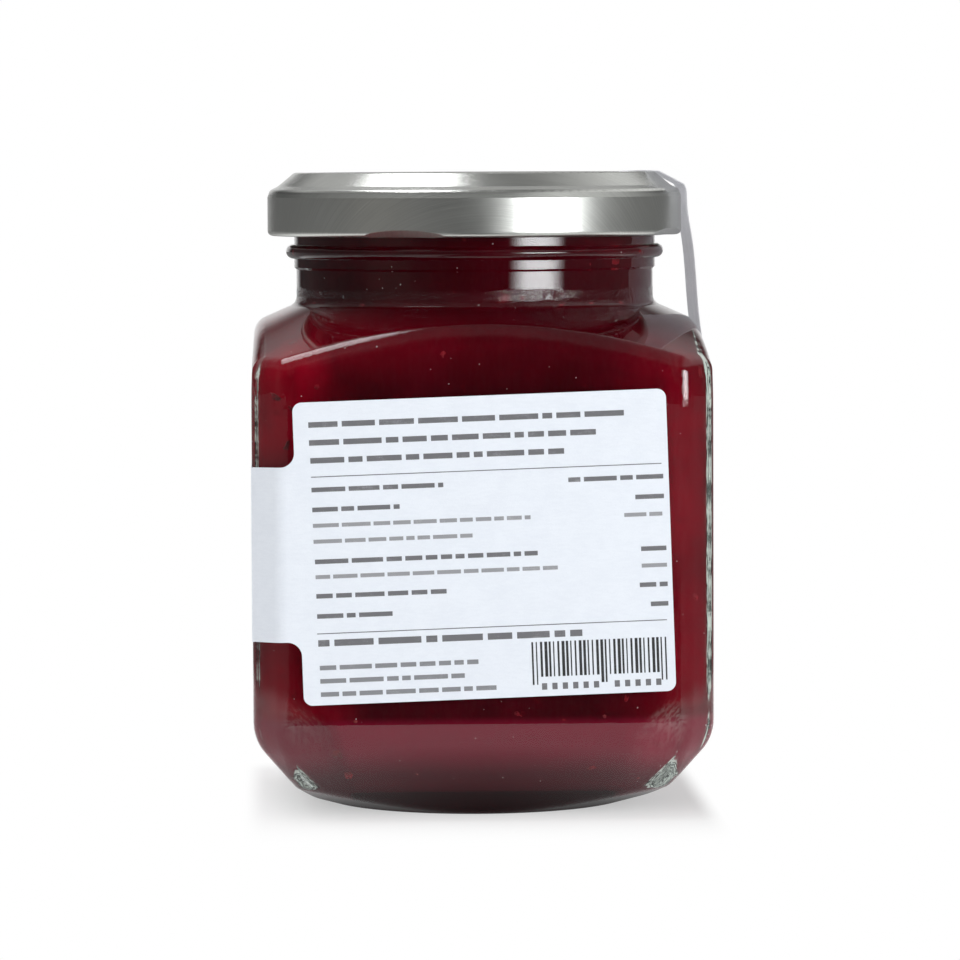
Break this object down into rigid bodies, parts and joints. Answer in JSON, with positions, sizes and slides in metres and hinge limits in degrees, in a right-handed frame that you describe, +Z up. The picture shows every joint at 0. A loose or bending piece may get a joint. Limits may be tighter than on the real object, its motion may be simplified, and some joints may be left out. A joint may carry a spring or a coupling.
{
  "type": "jam jar",
  "caption": "Square glass jar of dark red jam with bevelled corners and arched shoulders, a flat metal twist-off lid, a wrap-round paper label and a paper seal strip.",
  "frame": {"origin": "middle of the jar's footprint, on the plane that its foot ring stands on", "axes": "+Z up along the jar's axis; the printed label panel with its nutrition rows looks along -Y; the seal strip is on +X and the label's band on -X"},
  "size_m": [0.0716, 0.0716, 0.1001],
  "materials": {
    "clear_glass": "clear, glossy",
    "jam": "wet, dark wine red, barely see-through",
    "lid_metal": "silver, finely brushed, satin lacquer",
    "label_paper": "matt bluish white with dark grey print",
    "strip_paper": "matt white"
  },
  "bodies": {
    "root": {"jar": "clear_glass", "jam": "jam", "lid": "lid_metal", "label": "label_paper", "seal_strip": "strip_paper"}
  },
  "joints": []
}
